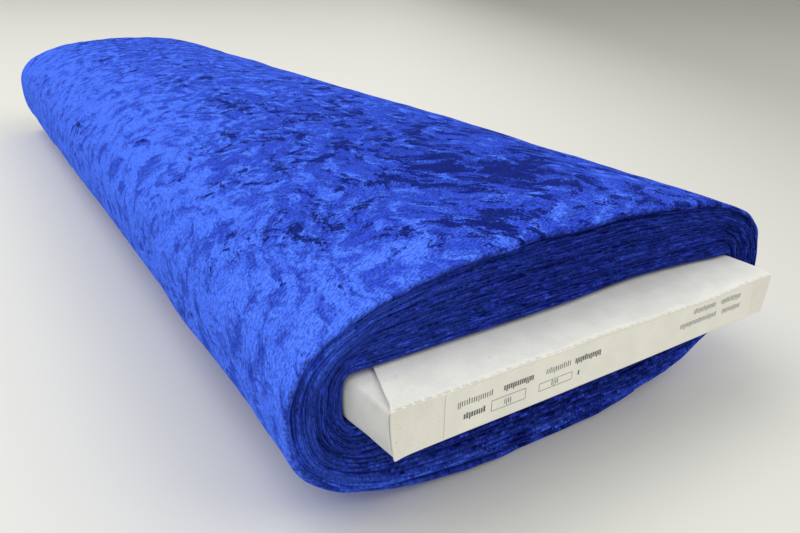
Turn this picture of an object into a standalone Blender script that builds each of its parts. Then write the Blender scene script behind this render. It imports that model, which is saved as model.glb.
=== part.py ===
"""A flat bolt of velvet: cloth folded in half and wound round a flat folded card box.

The roll lies on its broad side. +Y runs along the roll from the labelled end to the far end, +Z is up,
and the origin is on the surface it lies on, under the middle of the roll. Sizes are in metres.
"""

import math

import bmesh
import bpy
from mathutils import Vector

# The card box that the cloth is wound on
BOARD_WIDTH = 0.200
BOARD_SIDE = 0.0147  # upright part of a side wall
BEVEL_DROP = 0.0044  # the lower edges are crushed to a slope this deep
BEVEL_RUN = 0.0018
BOARD_OVERHANG = 0.0234  # how far the box stands out of the roll at each end
CARD = 0.0008
LAP_WIDTH = 0.030  # glue lap under the top panel
SLIT_INSET = 0.0095  # the top panel's cut edge, in from the side crease along the roll
TUCK_DEPTH = 0.012
TUCK_TAPER = 0.003
DUST_WIDTH = 0.014
DUST_SLOPE = 0.8  # how steeply a dust flap's upper edge falls away from its crease
DUST_SHOULDER = 0.001
STIFFENER_FOOT = 0.030
STIFFENER_RISE_RUN = 0.012
STIFFENER_CREST = 0.040
STIFFENER_SETBACK = 0.030

# The paper label on the near end
LABEL_WIDTH = 0.1655
LABEL_SHIFT = 0.0032
LABEL_MARGIN = 0.0004
PAPER = 0.0003

# The wound cloth
CLOTH_WIDTH = 0.750  # the cloth is 1.5 m wide and folded in half
TURNS = 19  # ten metres of cloth
WIND_LEFT = 0.0236  # how far the turns build up on each side of the box
WIND_RIGHT = 0.0325
WIND_TOP = 0.0342
WIND_BOTTOM = 0.0486
ROUNDNESS = 2.7  # exponent of the roll's outline, where 2 is an ellipse
FLOOR_PRESS = 0.0006  # the lowest turn is pressed flat by this much
WRAP_GAP = 0.0005
WRAP_RADIUS = 0.0014
TOP_STEPS = 5
CORNER_STEPS = 2
SIDE_STEPS = 2
CORNER_HIGH = math.radians(52)
CORNER_LOW = math.radians(26)

GAP = 0.0003  # between pieces that touch

BOARD_DEPTH = BOARD_SIDE + BEVEL_DROP
BOARD_LENGTH = CLOTH_WIDTH + 2 * BOARD_OVERHANG
PANEL_END = BOARD_LENGTH / 2 - CARD - GAP  # where the long panels stop, behind an end panel
BOARD_TOP = Vector(((WIND_LEFT - WIND_RIGHT) / 2, 0, WIND_BOTTOM + BOARD_DEPTH))

for old in list(bpy.data.objects):
    bpy.data.objects.remove(old)


def material(name, colour, roughness):
    made = bpy.data.materials.new(name)
    made.use_nodes = True
    shader = made.node_tree.nodes["Principled BSDF"]
    shader.inputs["Base Color"].default_value = (*colour, 1)
    shader.inputs["Roughness"].default_value = roughness
    shader.inputs["Metallic"].default_value = 0
    return made


def empty(name, location, parent=None, turn=0.0):
    """A guide that pieces are placed by. It isn't a piece."""
    made = bpy.data.objects.new(name, None)
    made.location = location
    made.rotation_euler.z = turn
    made.parent = parent
    bpy.context.collection.objects.link(made)
    return made


def swept(name, faces, sweep, finish, parent=None):
    """A closed solid: flat faces, given as lists of points, extruded along one straight sweep."""
    bm = bmesh.new()
    for points in faces:
        bm.faces.new([bm.verts.new(point) for point in points])
    bmesh.ops.remove_doubles(bm, verts=bm.verts, dist=1e-7)
    grown = bmesh.ops.extrude_face_region(bm, geom=bm.faces[:])
    moved = [item for item in grown["geom"] if isinstance(item, bmesh.types.BMVert)]
    bmesh.ops.translate(bm, verts=moved, vec=sweep)
    bmesh.ops.recalc_face_normals(bm, faces=bm.faces)
    mesh = bpy.data.meshes.new(name)
    bm.to_mesh(mesh)
    bm.free()
    mesh.materials.append(finish)
    made = bpy.data.objects.new(name, mesh)
    made.parent = parent
    bpy.context.collection.objects.link(made)
    return made


def plate(name, outline, low, high, finish, parent):
    """A level sheet of card: an outline in X and Y, between two heights."""
    return swept(name, [[(x, y, low) for x, y in outline]], (0, 0, high - low), finish, parent)


def rectangle(x0, y0, x1, y1):
    return [(x0, y0), (x1, y0), (x1, y1), (x0, y1)]


def folded_strip(name, line, half_length, finish, parent):
    """Card bent along creases that run in Y: an open line in X and Z, thickened to its left."""
    points = [Vector(point) for point in line]
    inner = []
    for i, point in enumerate(points):
        before = (point - points[i - 1]).normalized() if i > 0 else None
        after = (points[i + 1] - point).normalized() if i < len(points) - 1 else None
        before = before or after
        after = after or before
        mitre = (before + after).normalized()
        normal = Vector((-mitre.y, mitre.x))
        inner.append(point + normal * CARD / mitre.dot(after))
    quads = []
    for i in range(len(points) - 1):
        corners = (points[i], points[i + 1], inner[i + 1], inner[i])
        quads.append([(corner.x, -half_length, corner.y) for corner in corners])
    return swept(name, quads, (0, 2 * half_length, 0), finish, parent)


def top_panel(board, card):
    """The upper face. Its cut left edge lies over the glue lap and runs out to the crease at each end."""
    edge = BOARD_WIDTH / 2
    cut = -edge + SLIT_INSET
    roll_end = CLOTH_WIDTH / 2
    outline = [
        (edge, -PANEL_END),
        (edge, PANEL_END),
        (-edge, PANEL_END),
        (cut, roll_end),
        (cut, -roll_end),
        (-edge, -PANEL_END),
    ]
    plate("core_top_panel", outline, -CARD, 0, card, board)


def glue_lap(board, card):
    """Folded in from the left wall, glued under the top panel."""
    high = -CARD - GAP
    outline = rectangle(-BOARD_WIDTH / 2, -PANEL_END, -BOARD_WIDTH / 2 + LAP_WIDTH, PANEL_END)
    plate("core_glue_lap", outline, high - CARD, high, card, board)


def bottom_panel(board, card):
    half = BOARD_WIDTH / 2 - BEVEL_RUN - CARD - GAP
    low = -BOARD_DEPTH
    plate("core_bottom_panel", rectangle(-half, -PANEL_END, half, PANEL_END), low, low + CARD, card, board)


def side_wall(name, side, head, board, card):
    """An upright wall with its lower edge sloped inwards. side is -1 for the left and 1 for the right."""
    edge = side * BOARD_WIDTH / 2
    line = [(edge, head), (edge, -BOARD_SIDE), (edge - side * BEVEL_RUN, -BOARD_DEPTH)]
    if side > 0:
        line.reverse()
    folded_strip(name, line, PANEL_END, card, board)


def stiffener(board, card):
    """A strip folded to a hat shape, which keeps the upper and lower faces apart."""
    low = -BOARD_DEPTH + CARD + GAP
    high = -2 * CARD - GAP
    crest = STIFFENER_CREST / 2
    base = crest + STIFFENER_RISE_RUN
    foot = base + STIFFENER_FOOT
    line = [(-foot, low), (-base, low), (-crest, high), (crest, high), (base, low), (foot, low)]
    folded_strip("core_stiffener", line, BOARD_LENGTH / 2 - STIFFENER_SETBACK, card, board)


def upright(name, outline, back, front, finish, parent):
    """A standing sheet: an outline in X and Z, between two places in Y."""
    return swept(name, [[(x, front, z) for x, z in outline]], (0, back - front, 0), finish, parent)


def end_panel(end, crease, card):
    """Hangs from the top panel's end crease and closes the box. Its lower corners follow the side walls."""
    half = BOARD_WIDTH / 2
    outline = [
        (-half, 0),
        (half, 0),
        (half, -BOARD_SIDE),
        (half - BEVEL_RUN, -BOARD_DEPTH),
        (-half + BEVEL_RUN, -BOARD_DEPTH),
        (-half, -BOARD_SIDE),
    ]
    upright(f"{end}_end_panel", outline, CARD, 0, card, crease)


def tuck_flap(end, crease, card):
    """Folded in along the end panel's lower crease, flat above the bottom panel."""
    back = BOARD_WIDTH / 2 - CARD - 3 * GAP - DUST_WIDTH
    tip = back - TUCK_TAPER
    outline = [(-back, GAP), (back, GAP), (tip, TUCK_DEPTH), (-tip, TUCK_DEPTH)]
    lower_crease = empty(f"{end}_tuck_crease", (0, CARD, -BOARD_DEPTH + 2 * CARD + GAP), crease)
    plate(f"{end}_tuck_flap", outline, -CARD, 0, card, lower_crease)


def dust_flap(name, side, closure, card):
    """Folded in from a side wall behind the end panel. side is -1 for the left and 1 for the right."""
    crease = empty(f"{name}_crease", (side * (BOARD_WIDTH / 2 - CARD), CARD + GAP, 0), closure)
    head = 2 * CARD + 2 * GAP + DUST_SHOULDER
    foot = BOARD_DEPTH - CARD - GAP
    root = GAP + BEVEL_RUN
    outline = [
        (-side * GAP, -head),
        (-side * DUST_WIDTH, -head - DUST_SLOPE * DUST_WIDTH),
        (-side * DUST_WIDTH, -foot),
        (-side * root, -foot),
        (-side * GAP, -BOARD_SIDE),
    ]
    upright(name, outline, CARD, 0, card, crease)


def end_closure(end, facing, board, card):
    """The panel and flaps that close one end, made facing -Y and turned round for the far end."""
    turn = 0 if facing < 0 else math.pi
    closure = empty(f"{end}_end_crease", (0, facing * BOARD_LENGTH / 2, 0), board, turn)
    end_panel(end, closure, card)
    tuck_flap(end, closure, card)
    for side in (-1, 1):
        hand = "left" if side * facing > 0 else "right"
        dust_flap(f"{end}_{hand}_dust_flap", side, closure, card)
    return closure


def label(closure, paper):
    """Stuck on the near end panel, over its whole height."""
    left = LABEL_SHIFT - LABEL_WIDTH / 2
    low = LABEL_MARGIN - BOARD_DEPTH
    outline = rectangle(left, low, left + LABEL_WIDTH, -LABEL_MARGIN)
    upright("label", outline, -GAP, -GAP - PAPER, paper, closure)


def quarter_turn():
    """From the middle of the box's top to the middle of its side: a point on the box, in X and Z from
    its centre, with the angle at which the finished roll's outline answers it."""
    half_width = BOARD_WIDTH / 2 + WRAP_GAP
    half_height = BOARD_DEPTH / 2 + WRAP_GAP
    flat = half_width - WRAP_RADIUS
    steps = []
    for i in range(TOP_STEPS):
        share = i / TOP_STEPS
        steps.append((flat * share, half_height, math.pi / 2 + (CORNER_HIGH - math.pi / 2) * share))
    for i in range(CORNER_STEPS):
        share = i / CORNER_STEPS
        angle = math.pi / 2 * (1 - share)
        x = flat + WRAP_RADIUS * math.cos(angle)
        z = half_height - WRAP_RADIUS * (1 - math.sin(angle))
        steps.append((x, z, CORNER_HIGH + (CORNER_LOW - CORNER_HIGH) * share))
    for i in range(SIDE_STEPS + 1):
        share = i / SIDE_STEPS
        steps.append((half_width, (half_height - WRAP_RADIUS) * (1 - share), CORNER_LOW * (1 - share)))
    return steps


def whole_turn():
    """The stations of one turn, clockwise seen from the labelled end, from the roll's right shoulder."""
    quarter = quarter_turn()
    loop = list(quarter)
    loop += [(x, -z, -angle) for x, z, angle in reversed(quarter[1:-1])]
    loop += [(-x, -z, angle - math.pi) for x, z, angle in quarter]
    loop += [(-x, z, math.pi - angle) for x, z, angle in reversed(quarter[1:-1])]
    return loop[TOP_STEPS:] + loop[:TOP_STEPS]


STATIONS = whole_turn()
STEPS = len(STATIONS)
QUARTER = STEPS // 4
TO_SIDE = CORNER_STEPS + SIDE_STEPS  # from the shoulder to the middle of the right side
TAIL_STEPS = TO_SIDE + SIDE_STEPS + 1  # the free end stops part way round the lower corner
PITCH = min(WIND_LEFT, WIND_RIGHT, WIND_TOP, WIND_BOTTOM) / (TURNS + 1)
PLY = 1 - GAP / PITCH  # the doubled cloth's share of a turn's pitch
FULL_WIND = TURNS + TAIL_STEPS / STEPS + PLY


def reach(build_up, station, turn):
    """How far the outline lies beyond the box for a turn's outside to end up at the build-up given."""
    return build_up * FULL_WIND / (turn + station / STEPS + PLY)


def outline_box():
    """The left, right, bottom and top of the outline that all the turns grow towards."""
    side = BOARD_WIDTH / 2
    face = BOARD_DEPTH / 2
    right = side + reach(WIND_RIGHT, TO_SIDE, TURNS)
    bottom = -face - reach(WIND_BOTTOM + FLOOR_PRESS, TO_SIDE + QUARTER, TURNS - 1)
    left = -side - reach(WIND_LEFT, TO_SIDE + 2 * QUARTER, TURNS - 1)
    top = face + reach(WIND_TOP, TO_SIDE + 3 * QUARTER, TURNS - 1)
    return left, right, bottom, top


def outline_point(angle):
    left, right, bottom, top = outline_box()
    across = math.copysign(abs(math.cos(angle)) ** (2 / ROUNDNESS), math.cos(angle))
    up = math.copysign(abs(math.sin(angle)) ** (2 / ROUNDNESS), math.sin(angle))
    return Vector(((left + right + (right - left) * across) / 2, (bottom + top + (top - bottom) * up) / 2))


def cloth_point(turn, ply):
    """A point in X and Z on the spiral, a number of turns from its inner end, at a share of its ply."""
    step = turn * STEPS
    first = math.floor(step + 1e-6)
    spots = []
    for index in (first, first + 1):
        x, z, angle = STATIONS[index % STEPS]
        box = Vector((x, z))
        spots.append(box.lerp(outline_point(angle), (turn + ply) / FULL_WIND))
    spot = spots[0].lerp(spots[1], step - first)
    height = max(0, BOARD_TOP.z - BOARD_DEPTH / 2 + spot.y)
    return BOARD_TOP.x + spot.x, height


def cloth_band(name, turns, finish, guide=None):
    """Doubled cloth through the turns listed, the full width of the roll."""
    origin = Vector(guide.location) if guide else Vector((0, 0, 0))
    rails = []
    for ply in (0, PLY):
        rail = []
        for turn in turns:
            x, z = cloth_point(turn, ply)
            rail.append(Vector((x, -CLOTH_WIDTH / 2, z)) - origin)
        rails.append(rail)
    quads = []
    for i in range(len(turns) - 1):
        quads.append([rails[0][i], rails[0][i + 1], rails[1][i + 1], rails[1][i]])
    swept(name, quads, (0, CLOTH_WIDTH, 0), finish, guide)


def wound_cloth(velvet):
    cloth_band("wound_cloth", [i / STEPS for i in range(TURNS * STEPS + 1)], velvet)


def cloth_tail(velvet):
    """The free end of the outer turn, from the right shoulder down. It lifts about the roll's surface."""
    x, z = cloth_point(TURNS, PLY)
    shoulder = empty("tail_fold", (x, 0, z))
    run = (Vector(cloth_point(TURNS + 1 / STEPS, PLY)) - Vector((x, z))).length
    turns = [TURNS + GAP / run / STEPS]
    turns += [TURNS + i / STEPS for i in range(1, TAIL_STEPS + 1)]
    cloth_band("cloth_tail", turns, velvet, shoulder)


def build():
    card = material("white_card", (0.86, 0.85, 0.80), 0.75)
    paper = material("label_paper", (0.84, 0.83, 0.78), 0.6)
    velvet = material("blue_velvet", (0.05, 0.14, 0.72), 0.85)
    board = empty("board", BOARD_TOP)
    top_panel(board, card)
    glue_lap(board, card)
    bottom_panel(board, card)
    side_wall("core_left_wall", -1, -2 * (CARD + GAP), board, card)
    side_wall("core_right_wall", 1, -CARD - GAP, board, card)
    stiffener(board, card)
    near = end_closure("near", -1, board, card)
    end_closure("far", 1, board, card)
    label(near, paper)
    wound_cloth(velvet)
    cloth_tail(velvet)


build()
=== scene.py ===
import math

import bpy
import numpy as np
from mathutils import Matrix, Vector, noise


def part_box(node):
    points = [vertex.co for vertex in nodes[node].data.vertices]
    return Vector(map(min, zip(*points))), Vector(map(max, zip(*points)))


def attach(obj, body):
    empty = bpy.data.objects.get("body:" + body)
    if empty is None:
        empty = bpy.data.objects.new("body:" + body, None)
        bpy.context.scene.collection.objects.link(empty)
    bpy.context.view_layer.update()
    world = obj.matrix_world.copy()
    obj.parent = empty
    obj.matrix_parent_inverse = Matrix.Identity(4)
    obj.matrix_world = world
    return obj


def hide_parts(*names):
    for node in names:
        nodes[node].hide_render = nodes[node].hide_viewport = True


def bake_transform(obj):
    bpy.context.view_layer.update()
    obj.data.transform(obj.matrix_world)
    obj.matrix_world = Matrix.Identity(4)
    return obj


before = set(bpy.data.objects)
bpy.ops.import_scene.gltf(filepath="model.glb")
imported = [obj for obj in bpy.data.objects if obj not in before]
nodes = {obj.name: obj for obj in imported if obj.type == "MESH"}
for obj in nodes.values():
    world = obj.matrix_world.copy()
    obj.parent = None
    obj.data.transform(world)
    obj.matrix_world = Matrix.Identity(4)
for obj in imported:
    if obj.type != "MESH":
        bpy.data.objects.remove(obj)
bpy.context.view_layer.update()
bpy.ops.object.select_all(action="DESELECT")


# The box's card: grey board with a white liner, cut as one blank, creased and glued. The liner takes a
# faint mottle and fibre from the pulp under it. The hidden panels, flaps and stiffener are plain card.
CARD_WHITE = (0.72, 0.725, 0.69)
CARD_SHADE = (0.65, 0.655, 0.625)
CARD_FLECK = (0.45, 0.42, 0.36)


def new_material(name, roughness):
    made = bpy.data.materials.new(name)
    made.use_nodes = True
    shader = made.node_tree.nodes["Principled BSDF"]
    shader.inputs["Roughness"].default_value = roughness
    return made, made.node_tree, shader


def feed(tree, socket, value):
    """Links a value to an input, or sets the input to a number, a colour or a vector."""
    if isinstance(value, bpy.types.NodeSocket):
        tree.links.new(value, socket)
    elif isinstance(value, tuple) and len(socket.default_value) == 4:
        socket.default_value = (*value, 1)
    else:
        socket.default_value = value


def maths(tree, operation, *values):
    made = tree.nodes.new("ShaderNodeMath")
    made.operation = operation
    for socket, value in zip(made.inputs, values):
        feed(tree, socket, value)
    return made.outputs[0]


def cloud(tree, where, scale, detail=2.0, roughness=0.5, colour=False):
    made = tree.nodes.new("ShaderNodeTexNoise")
    feed(tree, made.inputs["Vector"], where)
    made.inputs["Scale"].default_value = scale
    made.inputs["Detail"].default_value = detail
    made.inputs["Roughness"].default_value = roughness
    return made.outputs["Color" if colour else "Fac"]


def step(tree, value, low, high, to_low=0.0, to_high=1.0):
    """Eases from one number to another as the value goes from low to high."""
    made = tree.nodes.new("ShaderNodeMapRange")
    made.interpolation_type = "SMOOTHSTEP"
    for socket, number in zip(made.inputs, (value, low, high, to_low, to_high)):
        feed(tree, socket, number)
    return made.outputs[0]


def mixed(tree, share, first, second):
    made = tree.nodes.new("ShaderNodeMix")
    made.data_type = "RGBA"
    feed(tree, made.inputs[0], share)
    feed(tree, made.inputs[6], first)
    feed(tree, made.inputs[7], second)
    return made.outputs[2]


def bumped(tree, shader, height, strength, distance):
    made = tree.nodes.new("ShaderNodeBump")
    feed(tree, made.inputs["Height"], height)
    made.inputs["Strength"].default_value = strength
    made.inputs["Distance"].default_value = distance
    tree.links.new(made.outputs[0], shader.inputs["Normal"])


def card_material(name, light, dark, mottle_scale):
    made, tree, shader = new_material(name, 0.6)
    where = tree.nodes.new("ShaderNodeTexCoord").outputs["Object"]
    mottle = cloud(tree, where, mottle_scale, 4, 0.6)
    fibre = cloud(tree, where, 1700, 2, 0.6)
    fleck = step(tree, cloud(tree, where, 620, 1, 0.5), 0.70, 0.76)
    shade = maths(tree, "ADD", maths(tree, "MULTIPLY", mottle, 0.6), maths(tree, "MULTIPLY", fibre, 0.4))
    colour = mixed(tree, step(tree, shade, 0.40, 0.60), dark, light)
    colour = mixed(tree, maths(tree, "MULTIPLY", fleck, 0.35), colour, CARD_FLECK)
    tree.links.new(colour, shader.inputs["Base Color"])
    height = maths(tree, "ADD", mottle, maths(tree, "MULTIPLY", fibre, 0.3))
    bumped(tree, shader, height, 0.25, 0.0004)
    return made


card = card_material("card", CARD_WHITE, CARD_SHADE, mottle_scale=75)
for name, piece in nodes.items():
    if name not in ("wound_cloth", "cloth_tail"):
        piece.data.materials.clear()
        piece.data.materials.append(card)


# The box's top cover is the last panel of the blank, folded over from the right wall. Its cut left edge
# lies on the glue lap, slanting to the corner, and its front edge rolls over softly into the crease.
CARD_THICK = 0.0008
ROLL_OVER = 0.0013  # the crease's radius
SLIT_AT_CLOTH = 0.0081  # how far in the cut edge lies at the cloth, and at the box's end
SLIT_AT_END = 0.0006
COVER_PAST = 0.0007  # how far the cover reaches out over each end panel
FRONT_WEAR = 0.0045  # how far back the crease's wear is felt
EDGE_LIFT = 0.0005  # how much the cut edge stands up at the box's end
COVER_SWELL = 0.00035  # how far the cover swells and sinks between its edges
roll_low, roll_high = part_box("wound_cloth")
top_low, top_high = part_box("core_top_panel")
face_low, face_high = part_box("near_end_panel")
near_end, far_end = roll_low.y, roll_high.y
overhang = near_end - face_low.y  # how far the box stands out of the cloth


def ease(t):
    t = np.clip(t, 0, 1)
    return t * t * (3 - 2 * t)


def wobble(points, size, seed):
    """Smooth noise of about -1 to 1 at each point, with hollows and humps of the size given."""
    shift = Vector((seed * 3.7, seed * 1.3, seed * 5.1))
    return np.array([noise.noise(Vector(p) / size + shift) for p in points]) * 1.7


def grid(name, columns, rows):
    """A flat grid, and for each of its points how far along it is each way, from 0 to 1."""
    bpy.ops.object.select_all(action="DESELECT")
    bpy.ops.mesh.primitive_grid_add(x_subdivisions=columns - 1, y_subdivisions=rows - 1, size=2)
    piece = bpy.context.object
    piece.name = name
    place = np.zeros(len(piece.data.vertices) * 3)
    piece.data.vertices.foreach_get("co", place)
    place = place.reshape(-1, 3)
    return piece, (place[:, 0] + 1) / 2, (place[:, 1] + 1) / 2


def shape(piece, x, y, z):
    piece.data.vertices.foreach_set("co", np.stack([x, y, z], 1).astype(np.float32).ravel())
    piece.data.update()


def thicken(piece, thickness, offset=0, group=""):
    """Gives a sheet its thickness, with its faces out, and smooth shading."""
    bpy.ops.object.select_all(action="DESELECT")
    piece.select_set(True)
    bpy.context.view_layer.objects.active = piece
    solid = piece.modifiers.new("thickness", "SOLIDIFY")
    solid.thickness = thickness
    solid.offset = offset
    solid.vertex_group = group
    bpy.ops.object.modifier_apply(modifier=solid.name)
    bpy.ops.object.mode_set(mode="EDIT")
    bpy.ops.mesh.select_all(action="SELECT")
    bpy.ops.mesh.normals_make_consistent(inside=False)
    bpy.ops.object.mode_set(mode="OBJECT")
    bpy.ops.object.shade_smooth_by_angle(angle=math.radians(50))


def crease_dip(x):
    """How much lower the front crease has worn and rolled, most of all right of the middle."""
    middle = np.exp(-(((x - 0.045) / 0.030) ** 2))
    return 0.0002 + 0.0017 * middle + 0.0002 * np.sin(x * 140)


def ends_close(t):
    """Spreads 0 to 1 so that points crowd towards both ends."""
    return t - 0.92 * np.sin(2 * np.pi * t) / (2 * np.pi)


top_cover, across, along = grid("top_cover", 111, 131)
y = top_low.y - COVER_PAST + (top_high.y - top_low.y + 2 * COVER_PAST) * ends_close(along)
from_end = np.minimum(y - top_low.y, top_high.y - y) + COVER_PAST
inset = SLIT_AT_END + (SLIT_AT_CLOTH - SLIT_AT_END) * np.clip(from_end / overhang, 0, 1.25)
inset = inset - 0.0007 * np.exp(-(from_end / 0.0012) ** 2)
left_edge = top_low.x + inset
x = left_edge + (top_high.x - left_edge) * across
middle_top = top_high.z - CARD_THICK / 2
front = np.exp(-from_end / FRONT_WEAR)
rolled = ROLL_OVER - np.sqrt(np.maximum(ROLL_OVER**2 - np.maximum(ROLL_OVER - from_end, 0) ** 2, 0))
corner = np.exp(-((x - left_edge) / 0.0035) ** 2) * np.exp(-((from_end - 0.002) / 0.004) ** 2)
swell = wobble(np.stack([x, y, 0 * x], 1), 0.045, 1) * COVER_SWELL * ease(from_end / 0.006)
swell = swell * ease((overhang - from_end) / 0.004)
z = middle_top - crease_dip(x) * front - rolled + swell + EDGE_LIFT * corner
shape(top_cover, x, y, z)
thicken(top_cover, CARD_THICK)
top_cover.data.materials.append(card)
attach(top_cover, "bolt")
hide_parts("core_top_panel")


# The left wall and glue lap are one strip of the blank. The cloth's pull has swollen the wall and rounded
# its top corner where the turns begin, while at the box's end it is still square.
WALL_SWELL = 0.0031
ROUNDNESS = 0.46  # of the swollen corner: 1 is a round arc, 0 is square
HUB_IN = 0.0070  # where the corner's arc is centred, in from the wall
FOOT_IN = 0.0078  # and how far out from there the swollen wall's foot is
FOOT_DRAW = 0.0019  # how far the box's sides draw in towards the bottom
FOOT_CURVE = 2.2  # higher is straighter down to a sharper draw
LAP_SHARE = 0.28  # share of the strip that is lap
UNDER_SHARE = 0.90  # and where it turns in under the box
SHOULDER_SHARE = 0.26  # share of the wall's own strip that is still on top
TURNED_IN = 0.0012  # how far it reaches under the box, past the wall's inner face
# The strip's card is the box's card painted darker: painted shade for the left wall, which faces away from
# the window. The lap takes the same darker card.
WALL_WHITE_PAINTED_SHADE = (0.68, 0.685, 0.655)
WALL_MOTTLE_PAINTED_SHADE = (0.58, 0.585, 0.57)
wall_low, wall_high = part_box("core_left_wall")
lap_low, lap_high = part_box("core_glue_lap")


def powered(value, exponent):
    return np.sign(value) * np.abs(value) ** exponent


left_wall, across, along = grid("left_wall_and_lap", 45, 131)
y = wall_low.y + (wall_high.y - wall_low.y) * ends_close(along)
from_end = np.minimum(y - wall_low.y, wall_high.y - y)
squeezed = np.clip(from_end / overhang, 0, 1) ** 0.9
hub = wall_low.x + HUB_IN
reach = HUB_IN - CARD_THICK / 2 + WALL_SWELL
lap_middle = (lap_low.z + lap_high.z) / 2
half_high = (lap_middle - wall_low.z - CARD_THICK / 2) / 2
foot = -np.arccos((FOOT_IN / reach) ** (1 / ROUNDNESS))
down = np.clip((across - LAP_SHARE) / (UNDER_SHARE - LAP_SHARE), 0, 1)
angle = np.pi / 2 + (foot - np.pi / 2) * down
swollen_x = hub - reach * np.abs(np.cos(angle)) ** ROUNDNESS
swollen_z = lap_middle - half_high + half_high * powered(np.sin(angle), ROUNDNESS)
drop = np.clip((down - SHOULDER_SHARE) / (1 - SHOULDER_SHARE), 0, 1)
square_z = lap_middle - 2 * half_high * drop
square_x = wall_low.x + CARD_THICK / 2 + FOOT_DRAW * drop**FOOT_CURVE
square_x = square_x + (HUB_IN - CARD_THICK / 2) * (1 - np.clip(down / SHOULDER_SHARE, 0, 1))
is_lap = across < LAP_SHARE
x = square_x + (swollen_x - square_x) * squeezed
z = square_z + (swollen_z - square_z) * squeezed
x = np.where(is_lap, lap_high.x + (hub - lap_high.x) * across / LAP_SHARE, x)
z = np.where(is_lap, lap_middle, z)
turned_in = np.clip((across - UNDER_SHARE) / (1 - UNDER_SHARE), 0, 1)
x = x + (wall_high.x + TURNED_IN - x) * turned_in
z = z + (wall_low.z - CARD_THICK * 0.7 - z) * turned_in
dent = wobble(np.stack([x, y, z], 1), 0.022, 2) * 0.0003 * ease(from_end / 0.004)
x = np.where(is_lap | (turned_in > 0), x, x + dent)
shape(left_wall, x, y, z)
thicken(left_wall, CARD_THICK)
# a darker copy of the card material: painted shade on the wall
shaded_wall_card = card_material("shaded_wall_card", WALL_WHITE_PAINTED_SHADE, WALL_MOTTLE_PAINTED_SHADE, mottle_scale=60)
left_wall.data.materials.append(shaded_wall_card)
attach(left_wall, "bolt")
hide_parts("core_left_wall", "core_glue_lap")


# The labelled end panel hangs from a perforated crease. Its face has yellowed a little, its sides draw in
# towards the bottom, and the card bows by a few tenths between its corners.
FACE_IVORY = (0.765, 0.75, 0.675)
FACE_SHADE = (0.70, 0.685, 0.61)
BOW = 0.0004  # how far the middle of the panel's foot stands out
CURL = 0.0003  # how far the lower left corner has bent out, and twice that down
face_card = card_material("face_card", FACE_IVORY, FACE_SHADE, mottle_scale=45)
face, across, along = grid("near_face", 101, 17)
foot_z = face_low.z + 0.0002
head_z = face_high.z - 0.0004


def face_front(x, z):
    """The panel's front surface at a place on it, which what is stuck on follows too."""
    across = (x - face_low.x) / (face_high.x - face_low.x)
    fall = 1 - (z - foot_z) / (head_z - foot_z)
    waves = (1 + wobble(np.stack([x, 0 * x, z], 1), 0.05, 3)) * 0.0002
    return face_low.y - waves - BOW * np.sin(np.pi * np.clip(across, 0, 1)) * fall


drawn = FOOT_DRAW * (1 - along) ** FOOT_CURVE
x = face_low.x + drawn + (face_high.x - face_low.x - 1.7 * drawn) * across
z = foot_z + (head_z - crease_dip(x) - foot_z) * along
curl = np.exp(-(((x - face_low.x) / 0.004) ** 2 + ((z - foot_z) / 0.003) ** 2))
y = face_front(x, z) + CARD_THICK / 2 - CURL * curl
x = x - CURL * curl
z = z - 2 * CURL * curl
shape(face, x, y, z)
thicken(face, CARD_THICK)
face.data.materials.append(face_card)
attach(face, "near_end")
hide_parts("near_end_panel")


# Torn nibs of the crease's perforation stand up along the panel's head, close together at the left and
# fewer and smaller to the right. Each is a thumbnail of card fibre a millimetre or two wide.
NIB_PITCH = 0.0037
NIB_WIDTH = 0.0027
NIB_HEIGHT = 0.0007
KEEN_UP_TO = -0.072  # left of here the nibs are at their largest
KEEN, WORN = 1.0, 0.45


def nib(x, y, z, width, height, lean):
    """One nib: a short flat cylinder of card, set on the crease."""
    bpy.ops.mesh.primitive_cylinder_add(vertices=14, radius=0.5, depth=1, rotation=(math.pi / 2, 0, 0))
    made = bpy.context.object
    made.data.transform(made.matrix_world)
    made.matrix_world = Matrix.Identity(4)
    size = Matrix.Diagonal((width, CARD_THICK * 0.8, height * 2, 1))
    made.data.transform(Matrix.Translation((x, y, z)) @ Matrix.Rotation(lean, 4, "Y") @ size)
    return made


def joined(name, parts):
    bpy.ops.object.select_all(action="DESELECT")
    for part in parts:
        part.select_set(True)
    bpy.context.view_layer.objects.active = parts[0]
    bpy.ops.object.join()
    made = bpy.context.object
    made.name = name
    return made


nibs = []
spot = face_low.x + 0.0030
while spot < face_high.x - 0.002:
    keen = KEEN if spot < KEEN_UP_TO else WORN
    jitter = noise.noise(Vector((len(nibs) * 1.7, 0.3, 0.9)))
    height = (NIB_HEIGHT + 0.0004 * jitter) * keen
    width = NIB_WIDTH * (0.6 + 0.4 * keen)
    crest = float(head_z - crease_dip(np.array([spot]))[0])
    nibs.append(nib(spot, face_low.y + CARD_THICK * 0.5, crest, width, height, 0.15 * jitter))
    spot += NIB_PITCH + (0.0006 if keen == KEEN else 0.0018) * jitter
head_nibs = joined("perforation_nibs", nibs)
head_nibs.data.materials.append(card)
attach(head_nibs, "near_end")


# The paper label, thin and a shade yellower than the card, is glued flat over most of the end panel and
# follows its bow. Its right edge was cut a little askew, wider at the foot.
PAPER_THICK = 0.00016
PAPER_LIGHT = (0.79, 0.78, 0.695)
PAPER_SHADE = (0.74, 0.73, 0.65)
ASKEW = 0.0030  # how much wider the label is at its foot
HEAD_MARGIN = 0.0007  # the bare card left above the label, and below it
FOOT_MARGIN = 0.0004
label_low, label_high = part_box("label")
paper, tree, shader = new_material("label_paper", 0.5)
where = tree.nodes.new("ShaderNodeTexCoord").outputs["Object"]
tone = step(tree, cloud(tree, where, 60, 4, 0.6), 0.35, 0.65)
feed(tree, shader.inputs["Base Color"], mixed(tree, tone, PAPER_SHADE, PAPER_LIGHT))
bumped(tree, shader, cloud(tree, where, 1400, 2, 0.6), 0.15, 0.0002)

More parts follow.
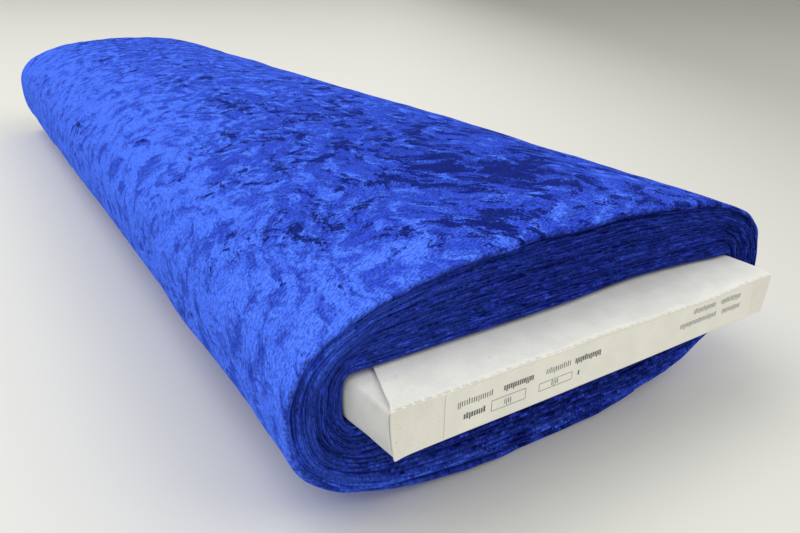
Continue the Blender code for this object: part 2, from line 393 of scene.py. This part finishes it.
label, across, along = grid("paper_label", 71, 11)
x = label_low.x + (label_high.x - label_low.x) * across + ASKEW * (1 - along) * (across > 0.5) * across
head = head_z - HEAD_MARGIN - crease_dip(x)
foot = label_low.z + FOOT_MARGIN
z = foot + (head - foot) * along
y = face_front(x, z) - PAPER_THICK * 0.7
shape(label, x, y, z)
thicken(label, PAPER_THICK)
label.data.materials.append(paper)
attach(label, "near_end")
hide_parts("label")


# The print on the label, in black ink that has taken unevenly, is upside down to a reader in front. Its
# words are rows of plain blocks, bold ones and light ones, and two figures have a ruled box each.
INK = (0.050, 0.050, 0.055)
INK_WORN = (0.26, 0.26, 0.25)
MIDDLE_ROW = label_low.z + 0.0118
LOWER_ROW = label_low.z + 0.0063
RIGHT_ROW = label_low.z + 0.0132
RIGHT_LOWER_ROW = label_low.z + 0.0083
ink, tree, shader = new_material("print_ink", 0.55)
where = tree.nodes.new("ShaderNodeTexCoord").outputs["Object"]
ink_wear_and_painted_light = step(tree, cloud(tree, where, 1500, 2, 0.6), 0.40, 0.75)
feed(tree, shader.inputs["Base Color"], mixed(tree, ink_wear_and_painted_light, INK, INK_WORN))


def block(low_x, high_x, low_z, high_z):
    """A printed block on the label, at its own place on the bowed paper."""
    bpy.ops.mesh.primitive_plane_add(size=1, rotation=(math.pi / 2, 0, 0))
    made = bpy.context.object
    made.data.transform(made.matrix_world)
    made.matrix_world = Matrix.Identity(4)
    middle = np.array([(low_x + high_x) / 2]), np.array([(low_z + high_z) / 2])
    y = float(face_front(*middle)[0]) - PAPER_THICK * 1.45
    size = Matrix.Diagonal((high_x - low_x, 1, high_z - low_z, 1))
    made.data.transform(Matrix.Translation((middle[0][0], y, middle[1][0])) @ size)
    return made


def word(start, end, middle_z, bold):
    """A row of small blocks, some with a tail up or down, filling the space of a printed word."""
    made = []
    x = start
    pitch = 0.00100 if bold else 0.00092
    stroke = 0.00068 if bold else 0.00034
    while x < end - stroke:
        kind = noise.noise(Vector((x * 900, middle_z * 700, 2.2)))
        low = 0.0010 + (0.0006 if kind < -0.22 else 0)
        high = 0.0010 + (0.0004 if kind > 0.30 else 0)
        made.append(block(x, x + stroke * (1 + 0.3 * kind), middle_z - low, middle_z + high))
        x += pitch * (1 + 0.25 * kind)
    return made


def ruled_box(low_x, high_x, low_z, high_z):
    """Four thin ruled lines, the long ones in lengths that follow the paper's bow."""
    line = 0.00020
    lines = [
        block(low_x, low_x + line, low_z + line, high_z - line),
        block(high_x - line, high_x, low_z + line, high_z - line),
    ]
    lengths = 8
    for start in np.linspace(low_x, high_x, lengths + 1)[:-1]:
        end = start + (high_x - low_x) / lengths
        lines.append(block(start, end, low_z, low_z + line))
        lines.append(block(start, end, high_z - line, high_z))
    return lines


printed = []
for start, end, row, bold in (
    (0.0421, 0.0572, RIGHT_ROW, False),
    (0.0604, 0.0742, RIGHT_ROW, False),
    (0.0345, 0.0588, RIGHT_LOWER_ROW, False),
    (0.0622, 0.0747, RIGHT_LOWER_ROW, False),
    (-0.0261, -0.0124, MIDDLE_ROW, True),
    (-0.0403, -0.0284, MIDDLE_ROW, False),
    (-0.0596, -0.0458, MIDDLE_ROW, True),
    (-0.0790, -0.0642, MIDDLE_ROW, False),
    (-0.0763, -0.0667, LOWER_ROW, True),
    (-0.0241, -0.0226, LOWER_ROW, True),
    (-0.0372, -0.0338, LOWER_ROW, False),
    (-0.0590, -0.0556, LOWER_ROW, False),
):
    printed += word(start, end, row, bold)
printed += ruled_box(-0.0433, -0.0271, LOWER_ROW - 0.0017, LOWER_ROW + 0.0016)
printed += ruled_box(-0.0647, -0.0494, LOWER_ROW - 0.0022, LOWER_ROW + 0.0022)
print_marks = joined("printed_details", printed)
print_marks.data.materials.append(ink)
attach(print_marks, "near_end")


# The cloth is crushed velvet: a knitted polyester ground with a short pile, pressed flat every way at once.
# Where the pile leans away it shines, and where it stands it is nearly black, in ragged patches. At the folds
# of the turns it stands open, dark with fine bright streaks along the fold, and that darkness is also painted
# shade on the roll's end. On the roll's left side the pile is painted brighter: a painted highlight where the
# window lights it.
BRIGHT_PILE = (0.070, 0.175, 0.97)
MIDDLE_PILE = (0.027, 0.064, 0.55)
DARK_PILE = (0.003, 0.007, 0.125)
FOLD_DARK = (0.0010, 0.0025, 0.062)
FOLD_LIGHT = (0.029, 0.052, 0.520)
SHEEN_BLUE = (0.05, 0.17, 1.0)


def vectors(tree, operation, *values):
    made = tree.nodes.new("ShaderNodeVectorMath")
    made.operation = operation
    for socket, value in zip(made.inputs, values):
        feed(tree, socket, value)
    return made.outputs[0]


def scaled(tree, vector, factor):
    made = tree.nodes.new("ShaderNodeVectorMath")
    made.operation = "SCALE"
    feed(tree, made.inputs[0], vector)
    feed(tree, made.inputs["Scale"], factor)
    return made.outputs[0]


def turned(tree, where, degrees, scale_x, scale_y):
    """The same place turned in the cloth's plane, then measured closer one way than the other."""
    made = tree.nodes.new("ShaderNodeMapping")
    made.vector_type = "TEXTURE"
    feed(tree, made.inputs["Vector"], where)
    made.inputs["Rotation"].default_value = (0, 0, math.radians(degrees))
    made.inputs["Scale"].default_value = (1 / scale_x, 1 / scale_y, 1)
    return made.outputs[0]


def strayed(tree, where, scale, detail, roughness, by):
    """The same place pushed about, so that a pattern laid on it frays."""
    push = cloud(tree, where, scale, detail, roughness, colour=True)
    push = vectors(tree, "SUBTRACT", push, (0.5, 0.5, 0.5))
    return vectors(tree, "ADD", where, scaled(tree, push, by))


def attribute(tree, name):
    made = tree.nodes.new("ShaderNodeAttribute")
    made.attribute_name = name
    return made.outputs["Fac"]


def times(tree, value, factor):
    return maths(tree, "MULTIPLY", value, factor)


def velvet_material(name):
    made, tree, shader = new_material(name, 1.0)
    laid_flat = tree.nodes.new("ShaderNodeUVMap")
    laid_flat.uv_map = "cloth"
    flat = laid_flat.outputs[0]
    bent = strayed(tree, flat, 14, 3, 0.5, 0.055)
    frayed = strayed(tree, bent, 150, 3, 0.6, 0.010)
    # the crush mark, which also carries the painted highlight on the roll's left side
    gathered_and_painted_light = attribute(tree, "crush_and_painted_light")

    # the pile's own rib and grain, within a millimetre or two
    rib = cloud(tree, turned(tree, flat, 30, 420, 1300), 1, 2, 0.5)
    grain = cloud(tree, flat, 950, 2, 0.6)
    pile = maths(tree, "ADD", times(tree, rib, 0.5), times(tree, grain, 0.5))

    # where the pile stands: dark patches of a centimetre or so, gathered where the cloth is crushed most
    patches = cloud(tree, turned(tree, frayed, 20, 118, 68), 1, 8, 0.70)
    drift = times(tree, maths(tree, "SUBTRACT", cloud(tree, bent, 22, 2, 0.5), 0.5), 0.36)
    level = maths(tree, "ADD", maths(tree, "ADD", patches, drift), times(tree, gathered_and_painted_light, 0.060))
    level = maths(tree, "ADD", level, times(tree, maths(tree, "SUBTRACT", 0.5, pile), 0.18))
    dark = step(tree, level, 0.538, 0.610)

    # where it lies away and shines, and the short strokes between
    shine = cloud(tree, turned(tree, frayed, -28, 110, 62), 1, 8, 0.68)
    shine = maths(tree, "SUBTRACT", shine, times(tree, gathered_and_painted_light, 0.050))
    tone = step(tree, shine, 0.43, 0.58)
    fine = cloud(tree, turned(tree, frayed, 32, 230, 120), 1, 6, 0.64)
    fine = maths(tree, "ADD", fine, times(tree, gathered_and_painted_light, 0.035))
    strokes = step(tree, fine, 0.53, 0.62)
    colour = mixed(tree, tone, MIDDLE_PILE, BRIGHT_PILE)
    colour = mixed(tree, times(tree, strokes, 0.65), colour, scaled(tree, MIDDLE_PILE, 0.55))
    colour = mixed(tree, times(tree, dark, 0.92), colour, DARK_PILE)

    # the folds at the roll's end: darker, partly the pile standing open and partly painted shade on the end
    # of the roll
    streak = step(tree, cloud(tree, turned(tree, flat, 0, 140, 1000), 1, 4, 0.62), 0.46, 0.64)
    fold_colour_and_painted_shade = mixed(tree, streak, FOLD_DARK, FOLD_LIGHT)
    colour = mixed(tree, times(tree, attribute(tree, "fold_and_painted_shade"), 0.80), colour, fold_colour_and_painted_shade)

    colour = scaled(tree, colour, step(tree, pile, 0.36, 0.64, 0.56, 1.46))
    tree.links.new(colour, shader.inputs["Base Color"])
    shader.inputs["Sheen Weight"].default_value = 0.25
    shader.inputs["Sheen Roughness"].default_value = 0.35
    shader.inputs["Sheen Tint"].default_value = (*SHEEN_BLUE, 1)
    shader.inputs["Specular IOR Level"].default_value = 0.03
    height = maths(tree, "ADD", times(tree, pile, 0.5), times(tree, tone, 0.6))
    bumped(tree, shader, height, 0.6, 0.0010)
    return made


velvet = velvet_material("crushed_velvet")


# The roll: ten metres of that velvet, folded in half with the pile outside and wound nineteen times round
# the box. The fold lies at the labelled end and the two selvages at the other. Each turn grows the roll by
# what the doubled cloth and its slack take up, more above and below the box than beside it.
TURNS = 19
TAIL_TURN = 0.165  # the free end of the outer turn, as a share of a turn
SPAN = TURNS + TAIL_TURN + 0.85
LAP_START = TURNS - 1 + 0.30
LAP_END = TURNS + TAIL_TURN
LOWER_PLY, UPPER_PLY = 0.22, 0.72  # where the two plies lie in a turn's thickness
PLY_THICK = 0.00078
SIDE_SHARE = 0.24  # share of a turn's stations that lie on each narrow side
SIDE_BULGE = 0.0034  # how far the box's squeezed sides swell under the first turn
CORNER = math.radians(52)  # where the narrow sides end on the roll's outline
WRAP = 0.0002  # how far the first turn stays off the box
SETTLE = 0.0010  # how far the roll's weight presses its underside on to the table
SMALLEST_RIM, LARGEST_RIM = 0.0022, 0.0090  # how deep the rim is rounded
SLACK = 0.0007  # how far the turns stray in and out
CRUSHED_SPOTS = (  # how much, the middle's x and y, and how wide and long
    (1.12, 0.014, -0.26, 0.088, 0.15),
    (0.9, -0.078, -0.215, 0.020, 0.035),
    (0.75, -0.085, -0.30, 0.028, 0.05),
)
tail_low, tail_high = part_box("cloth_tail")
box_half = Vector(((face_high.x - face_low.x) / 2, (face_high.z - face_low.z) / 2))
box_middle = Vector(((face_high.x + face_low.x) / 2, (face_high.z + face_low.z) / 2))
roll_half = Vector(((tail_high.x - roll_low.x) / 2, roll_high.z / 2))
roll_middle = Vector(((tail_high.x + roll_low.x) / 2, roll_high.z / 2))


def round_angle(q):
    """The angle on the roll's outline of a station, q of a turn clockwise from the right shoulder."""
    half_turn = np.where(q >= 0.5, math.pi, 0.0)
    rest = np.mod(q, 0.5)
    side = CORNER * (1 - 2 * rest / SIDE_SHARE)
    flat = -CORNER - (math.pi - 2 * CORNER) * (rest - SIDE_SHARE) / (0.5 - SIDE_SHARE)
    return np.where(rest < SIDE_SHARE, side, flat) - half_turn


def box_line(q):
    """The same station on the box, whose squeezed narrow sides swell."""
    hand = np.where(q >= 0.5, -1.0, 1.0)
    rest = np.mod(q, 0.5)
    turn = math.pi / 2 - math.pi * np.minimum(rest / SIDE_SHARE, 1)
    along = np.clip((rest - SIDE_SHARE) / (0.5 - SIDE_SHARE), 0, 1)
    on_side = rest < SIDE_SHARE
    half_x, half_z = box_half.x + WRAP, box_half.y + WRAP
    x = np.where(on_side, half_x + SIDE_BULGE * np.abs(np.cos(turn)) ** 0.75, half_x * (1 - 2 * along))
    z = np.where(on_side, half_z * powered(np.sin(turn), 0.75), -half_z)
    return box_middle.x + hand * x, box_middle.y + hand * z


def roll_line(q, y):
    """The same station on the finished roll. The roll is squarer at the top right of the labelled end and
    rounder below it, and squarer underneath at the far end."""
    angle = round_angle(q)
    across, up = np.cos(angle), np.sin(angle)
    along = ease((y - near_end) / (far_end - near_end))
    right, top = across >= 0, up >= 0
    near = np.where(top, np.where(right, 2.8, 2.6), np.where(right, 2.25, 2.6))
    far = np.where(top, np.where(right, 2.0, 2.5), np.where(right, 3.3, 3.5))
    exponent = near + (far - near) * along
    x = roll_middle.x + roll_half.x * powered(across, 2 / exponent)
    z = roll_middle.y + roll_half.y * powered(up, 2 / exponent)
    return x, z


def rim_size(q):
    """How deep the roll's rim is rounded, by its outer turns stepping back: least at the top."""
    angle = round_angle(q)
    left, right = np.maximum(-np.cos(angle), 0), np.maximum(np.cos(angle), 0)
    low, high = np.maximum(-np.sin(angle), 0), np.maximum(np.sin(angle), 0)
    size = SMALLEST_RIM + 0.0040 * low + 0.0052 * left**1.5 * (1 - 0.55 * high) + 0.002 * right
    return np.minimum(size, LARGEST_RIM)


def cloth_place(turns, level, depth, y):
    """The place of a point of cloth: turns from the cloth's inner end, the level of its ply in the turn,
    how far it is tucked in from there, and where it is along the roll."""
    q = np.mod(turns, 1.0)
    inner_x, inner_z = box_line(q)
    outer_x, outer_z = roll_line(q, y)
    gap = np.hypot(outer_x - inner_x, outer_z - inner_z)
    share = (turns + level) / SPAN - depth / gap
    x = inner_x + (outer_x - inner_x) * share
    z = inner_z + (outer_z - inner_z) * share - SETTLE * share * np.maximum(-np.sin(round_angle(q)), 0)
    spots = np.stack([x, y * 0.35, z], 1)
    stray = SLACK * (wobble(spots, 0.034, 5) + 0.5 * wobble(spots, 0.013, 6)) * np.clip(share, 0, 1)
    x = x + stray * (outer_x - inner_x) / gap
    z = z + stray * (outer_z - inner_z) / gap
    return x, np.maximum(z, PLY_THICK / 2), gap


def ring_noise(turns, round_scale, turn_scale, shift):
    """Noise that changes along a turn and, at its own pace, from one turn to the next."""
    angle = round_angle(np.mod(turns, 1.0))
    x, z = np.cos(angle) * 2.4 * round_scale, np.sin(angle) * 1.2 * round_scale
    return np.array([noise.noise(Vector((a, b, t * turn_scale + shift))) for a, b, t in zip(x, z, turns)])


def fold_reach(turns):
    """How far the fold of a turn lies in from the roll's end, apart from the rim's rounding."""
    angle = round_angle(np.mod(turns, 1.0))
    coarse = ring_noise(turns, 1, 1.35, 0)
    bands = ring_noise(turns, 0.4, 0.42, 9)
    fine = ring_noise(turns, 11, 1.35, 4)
    loose = 1 + 0.8 * ease((np.cos(angle) - 0.3) / 0.5)
    return 0.0018 + (0.0018 * coarse + 0.0018 * bands) * loose + 0.0004 * fine


def first_turn_reach(x):
    """Where the first turns' fold lies along the box: drawn in a little over its middle right."""
    return 0.0032 * np.exp(-(((x - 0.036) / 0.034) ** 2)) - 0.0016 * ease((x - 0.072) / 0.016) - 0.0006


def cloth_sheet(name, turns, points):
    """A sheet of cloth, and for each of its points which station along the cloth and which point across."""
    piece, along, across = grid(name, len(turns), points)
    station = np.rint(along * (len(turns) - 1)).astype(int)
    point = np.rint(across * (points - 1)).astype(int)
    return piece, station, point


def finish_cloth(piece, turns, station, x, y, z, tucked, gap, upper, fold_and_painted_shade):
    """Puts the sheet in place, lays its cloth out flat, marks its folds with their painted shade and its
    crushing with the painted highlight on the roll's left side, and gives it its ply.
    """
    shape(piece, x, y, z)
    path_x, path_z, _ = cloth_place(turns, 0.5, 0.0, np.zeros(len(turns)))
    length = np.concatenate([[0], np.cumsum(np.hypot(np.diff(path_x), np.diff(path_z)))])
    flat = np.stack([length[station] + turns[0] * 0.53, np.where(upper, y - tucked, -0.8 - y)], 1)
    loops = np.zeros(len(piece.data.loops), int)
    piece.data.loops.foreach_get("vertex_index", loops)
    piece.data.uv_layers[0].name = "cloth"
    piece.data.uv_layers[0].data.foreach_set("uv", flat[loops].astype(np.float32).ravel())
    # The crush mark is set low on the roll's left side: a painted highlight, with more shine and fewer dark
    # patches where the window lights the pile. The spots below are where the cloth is crushed most.
    crush_and_painted_light = 0.12 - 1.30 * ease((-x - 0.030) / 0.075)
    for much, middle_x, middle_y, wide, long in CRUSHED_SPOTS:
        crush_and_painted_light = crush_and_painted_light + much * np.exp(-(((x - middle_x) / wide) ** 2) - ((y - middle_y) / long) ** 2)
    for mark, values in (("fold_and_painted_shade", fold_and_painted_shade), ("crush_and_painted_light", crush_and_painted_light)):
        made = piece.data.attributes.new(mark, "FLOAT", "POINT")
        made.data.foreach_set("value", values.astype(np.float32))
    group = piece.vertex_groups.new(name="ply")
    weights = np.clip(gap / SPAN * 0.46 / PLY_THICK, 0.2, 1)
    for level in range(20, 101, 2):
        chosen = np.nonzero(np.rint(weights * 50).astype(int) * 2 == level)[0]
        if len(chosen):
            group.add([int(i) for i in chosen], level / 100, "REPLACE")
    thicken(piece, PLY_THICK, 0, "ply")
    piece.data.materials.append(velvet)
    return float(length[-1])


# The inner turns run from the cloth's inner end to where the last turn starts. Each has its two plies and
# the round nose of its fold, which lies in from the roll's end as the winding left it. The first turns follow
# the box closely, and the last few step back and make the roll's rounded rim.
REACHES = (0.0, 0.0012, 0.0035, 0.009, 0.03, 0.38, 0.72, 0.7495)  # the points along a ply, from the fold
NOSE = 5  # points round the fold
STATIONS_A_TURN = 118
FIRST_TURNS = 5  # how many turns out the box's own edge is still felt
HEM_STEP = 0.0009  # how far the lower ply stops short of the upper one at the selvages
stations = np.linspace(0, LAP_START, int(STATIONS_A_TURN * LAP_START))
points = 2 * len(REACHES) + NOSE
wound, station, point = cloth_sheet("wound_turns", stations, points)
turns = stations[station]
nose = np.clip(point - len(REACHES) + 1, 0, NOSE + 1) / (NOSE + 1) * math.pi - math.pi / 2
level = (LOWER_PLY + UPPER_PLY) / 2 + (UPPER_PLY - LOWER_PLY) / 2 * np.sin(nose)
upper = point >= len(REACHES) + NOSE
distance = np.where(upper, point - len(REACHES) - NOSE, len(REACHES) - 1 - point)
distance = np.clip(distance, 0, len(REACHES) - 1)
in_nose = (point >= len(REACHES)) & (point < len(REACHES) + NOSE)
reach = np.where(in_nose, 0, np.array(REACHES)[distance])
q_all = np.mod(stations, 1.0)
skin_turn = q_all + np.floor(LAP_END - q_all)
end_x, _, station_gap = cloth_place(stations, 0.5, 0.0, np.full(len(stations), near_end))
depth = (skin_turn + UPPER_PLY - stations - 0.5) / SPAN * station_gap
rim = rim_size(q_all)
inside = np.clip(1 - depth / rim, 0, 1)
rounding = 0.95 * rim * (1 - np.sqrt(1 - inside**2)) + 0.0006 * ease(inside * 4)
on_top = ease((np.sin(round_angle(q_all)) - 0.55) / 0.3)
first = ease(1 - stations / FIRST_TURNS)
at_box = first_turn_reach(end_x) * on_top + 0.0002 * (1 - on_top)
fold_at = rounding + fold_reach(stations) * (1 - first) + at_box * first
edge = near_end + fold_at
half_fold = station_gap / SPAN * (UPPER_PLY - LOWER_PLY) / 2
uneven = np.array([noise.noise(Vector((t * 3.1, 7.7, 0))) for t in stations])
selvage = far_end - 0.0006 - 0.0010 * (1 + uneven)
y = edge[station] + half_fold[station] * (1 - np.cos(nose))
y = np.where(in_nose, y, edge[station] + half_fold[station] + reach)
y = np.minimum(y, selvage[station] - np.where(upper, 0, HEM_STEP))
x, z, gap = cloth_place(turns, level, 0.0, y)
# the fold mark, darkest at each fold's nose: partly the pile standing open, partly painted shade on the
# roll's end
fold_and_painted_shade = np.exp(-np.maximum(y - edge[station] - 0.0006, 0) / 0.0022)
# Painted light: on the outer turns low and to the left, in blotches, most of the fold's painted shade is
# taken away, as the pile there catches the light from the front.
low = np.clip(-1.3 * np.sin(round_angle(q_all)), 0, 1)
left = np.clip(-0.7 * np.cos(round_angle(q_all)), 0, 1)
ink_wear_and_painted_light = (np.clip(1.15 - depth / 0.011, 0, 1) * np.maximum(low, left))[station]
ink_wear_and_painted_light = ink_wear_and_painted_light * ease(0.65 + 0.95 * wobble(np.stack([x, 0 * x, z], 1), 0.013, 14))
fold_and_painted_shade = fold_and_painted_shade * (1 - 0.95 * ink_wear_and_painted_light)
wound_length = finish_cloth(wound, stations, station, x, y, z, 0.0, gap, upper | (nose > 0), fold_and_painted_shade)
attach(wound, "bolt")
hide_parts("wound_cloth")


# The outer lap is the last turn of the same cloth, with its free end down the roll's right side. Its fold
# turns under with a small round lip, and the raw cut end runs a little ragged.
LAP_STATIONS = 205
LIP_STEPS = 7
SPACING = 0.0040  # between the points along the outer ply
LIP = 0.0015  # the roundness of this turn's own fold
CUT_SHARE = 0.035  # share of a turn over which the cut end's raggedness grows
TURN_LENGTH = 0.55  # the outer turn's length, in metres
lower_reach = [0.0, 0.01, 0.03, 0.10, 0.38, 0.66, 0.749]
upper_reach = list(np.arange(0.003, 0.751, SPACING))
lip_angles = np.linspace(0, math.pi / 2, LIP_STEPS)
nose_angles = np.linspace(-math.pi / 2, math.pi / 2, 7)[1:-1]
profile = [("lower", r) for r in lower_reach[::-1]] + [("under", a) for a in lip_angles[::-1]]
profile += [("nose", a) for a in nose_angles] + [("over", a) for a in lip_angles]
profile += [("upper", r) for r in upper_reach]
kinds = np.array([kind for kind, _ in profile])
values = np.array([value for _, value in profile])
stations = np.linspace(LAP_START, LAP_END, LAP_STATIONS)
lap, station, point = cloth_sheet("outer_lap", stations, len(profile))
turns = stations[station]
kind, value = kinds[point], values[point]
is_nose = kind == "nose"
over = (kind == "over") | (kind == "upper")
under = (kind == "under") | (kind == "lower")
straight = (kind == "upper") | (kind == "lower")


def wobble_along(distance, size, seed):
    return wobble(np.stack([distance, 0 * distance, 0 * distance], 1), size, seed)


rounded = rim_size(np.mod(turns, 1.0))
lip = LIP * (1 + 0.3 * wobble_along(turns * 0.5, 0.03, 8))
set_in = 0.95 * rounded * (1 - np.sqrt(1 - np.clip(1 - lip / rounded, 0, 1) ** 2))
_, _, station_gap = cloth_place(stations, 0.5, 0.0, np.full(len(stations), near_end))
apart = (station_gap / SPAN * (UPPER_PLY - LOWER_PLY))[station]  # from one ply to the other
inner = np.where(under, apart, 0)
turn_angle = np.where(straight, math.pi / 2, np.where(is_nose, 0, value))
depth = (lip - inner) * (1 - np.sin(turn_angle)) + inner
run_in = (lip - inner) * (1 - np.cos(turn_angle)) + inner
depth = np.where(is_nose, lip + apart / 2 * np.cos(value), depth)
run_in = np.where(is_nose, apart / 2 * (1 - np.sin(value)), run_in)
run_in = run_in + np.where(straight, value, 0)
waver = 0.0009 * wobble_along(turns * 0.5, 0.016, 9) * np.exp(-run_in / 0.006)
y = near_end + 0.0004 + set_in + run_in + waver
hem = far_end - 0.0004 - 0.0006 * (1 + wobble_along(turns * 0.5, 0.03, 4))
y = np.minimum(y, hem - np.where(under, 0.0012, 0))
ragged = 0.0040 * wobble_along(y, 0.05, 10) + 0.0009 * wobble_along(y, 0.006, 11)
at_cut = ease((turns - (LAP_END - CUT_SHARE)) / CUT_SHARE)
spot = turns + at_cut * (ragged - np.where(under, 0.0035, 0)) / TURN_LENGTH
x, z, gap = cloth_place(spot, UPPER_PLY, depth, y)
here = np.stack([x, y, z], 1)
loose = 0.0004 * wobble(here, 0.045, 12) + 0.00022 * wobble(here, 0.014, 13)
outward_x, outward_z = x - roll_middle.x, (z - roll_middle.y) * 2.2
outward = np.hypot(outward_x, outward_z)
x = x + loose * outward_x / outward
z = np.maximum(z + loose * outward_z / outward, PLY_THICK / 2 + 0.0001)
# the lap's own fold is darkened the same way: partly open pile, partly painted shade
fold_and_painted_shade = np.where((kind == "over") | is_nose, 0.8 * np.clip(1 - turn_angle / 1.3, 0, 1), 0.0)
lap_length = finish_cloth(lap, stations, station, x, y, z, depth, gap, over | is_nose, fold_and_painted_shade)
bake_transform(lap)
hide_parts("cloth_tail")


# The floor is one pale matt sheet, a good deal bigger than what is seen of it. Its colour is painted darker
# away from the window, to the right of the labelled end: painted shade.
FLOOR_LIGHT = (0.725, 0.73, 0.69)
FLOOR_PAINTED_SHADE = (0.41, 0.405, 0.375)
bpy.ops.object.select_all(action="DESELECT")
bpy.ops.mesh.primitive_plane_add(size=24, location=(0, 6, 0))
floor = bpy.context.object
floor.name = "floor"
floor_material, tree, shader = new_material("pale_floor", 0.8)
where = tree.nodes.new("ShaderNodeSeparateXYZ")
feed(tree, where.inputs[0], tree.nodes.new("ShaderNodeTexCoord").outputs["Object"])
# painted shade: the floor's colour darkens towards the right, away from the window
painted_shade_away = maths(tree, "SUBTRACT", where.outputs[0], maths(tree, "MULTIPLY", where.outputs[1], 0.6))
painted_shade_away = step(tree, painted_shade_away, 3.66, 4.66)
feed(tree, shader.inputs["Base Color"], mixed(tree, painted_shade_away, FLOOR_LIGHT, FLOOR_PAINTED_SHADE))
shader.inputs["Specular IOR Level"].default_value = 0.2
floor.data.materials.append(floor_material)


# The light is soft: a big window to the left and a little behind, a fill above the labelled end, and what
# the pale room throws back.
def area_light(name, spot, aim, size, power, colour):
    data = bpy.data.lights.new(name, "AREA")
    data.shape = "RECTANGLE"
    data.size, data.size_y = size
    data.energy = power
    data.color = colour
    light = bpy.data.objects.new(name, data)
    bpy.context.scene.collection.objects.link(light)
    light.location = spot
    light.rotation_euler = (Vector(aim) - Vector(spot)).to_track_quat("-Z", "Y").to_euler()


area_light("window", (-1.3, 0.6, 3.1), (0, 0, 0), (2.6, 2.6), 49, (1.0, 0.99, 0.97))
area_light("fill", (1.1, -1.5, 1.7), (0, 0, 0), (2.0, 1.5), 21, (1.0, 0.98, 0.95))
world = bpy.data.worlds.new("room")
bpy.context.scene.world = world
world.use_nodes = True
world.node_tree.nodes["Background"].inputs["Color"].default_value = (1.0, 0.99, 0.97, 1)
world.node_tree.nodes["Background"].inputs["Strength"].default_value = 0.68
bpy.context.scene.view_settings.view_transform = "Standard"


# The camera stands close to the labelled end, a little to the left and above.
CAMERA_SPOT = Vector((-0.1955, -0.5424, 0.1915))
CAMERA_YAW = 0.5755
CAMERA_PITCH = 0.4189
CAMERA_ROLL = 0.0190
CAMERA_LENS = 30.79
ahead = Vector((math.sin(CAMERA_YAW), math.cos(CAMERA_YAW), 0)) * math.cos(CAMERA_PITCH)
ahead.z = -math.sin(CAMERA_PITCH)
level_right = Vector((math.cos(CAMERA_YAW), -math.sin(CAMERA_YAW), 0))
level_up = level_right.cross(ahead)
right = level_right * math.cos(CAMERA_ROLL) + level_up * math.sin(CAMERA_ROLL)
up = level_up * math.cos(CAMERA_ROLL) - level_right * math.sin(CAMERA_ROLL)
camera_data = bpy.data.cameras.new("camera")
camera_data.lens = CAMERA_LENS
camera_data.sensor_width = 36
camera_data.clip_start = 0.01
camera = bpy.data.objects.new("camera", camera_data)
bpy.context.scene.collection.objects.link(camera)
camera.matrix_world = Matrix.Translation(CAMERA_SPOT) @ Matrix((right, up, -ahead)).transposed().to_4x4()
bpy.context.scene.camera = camera
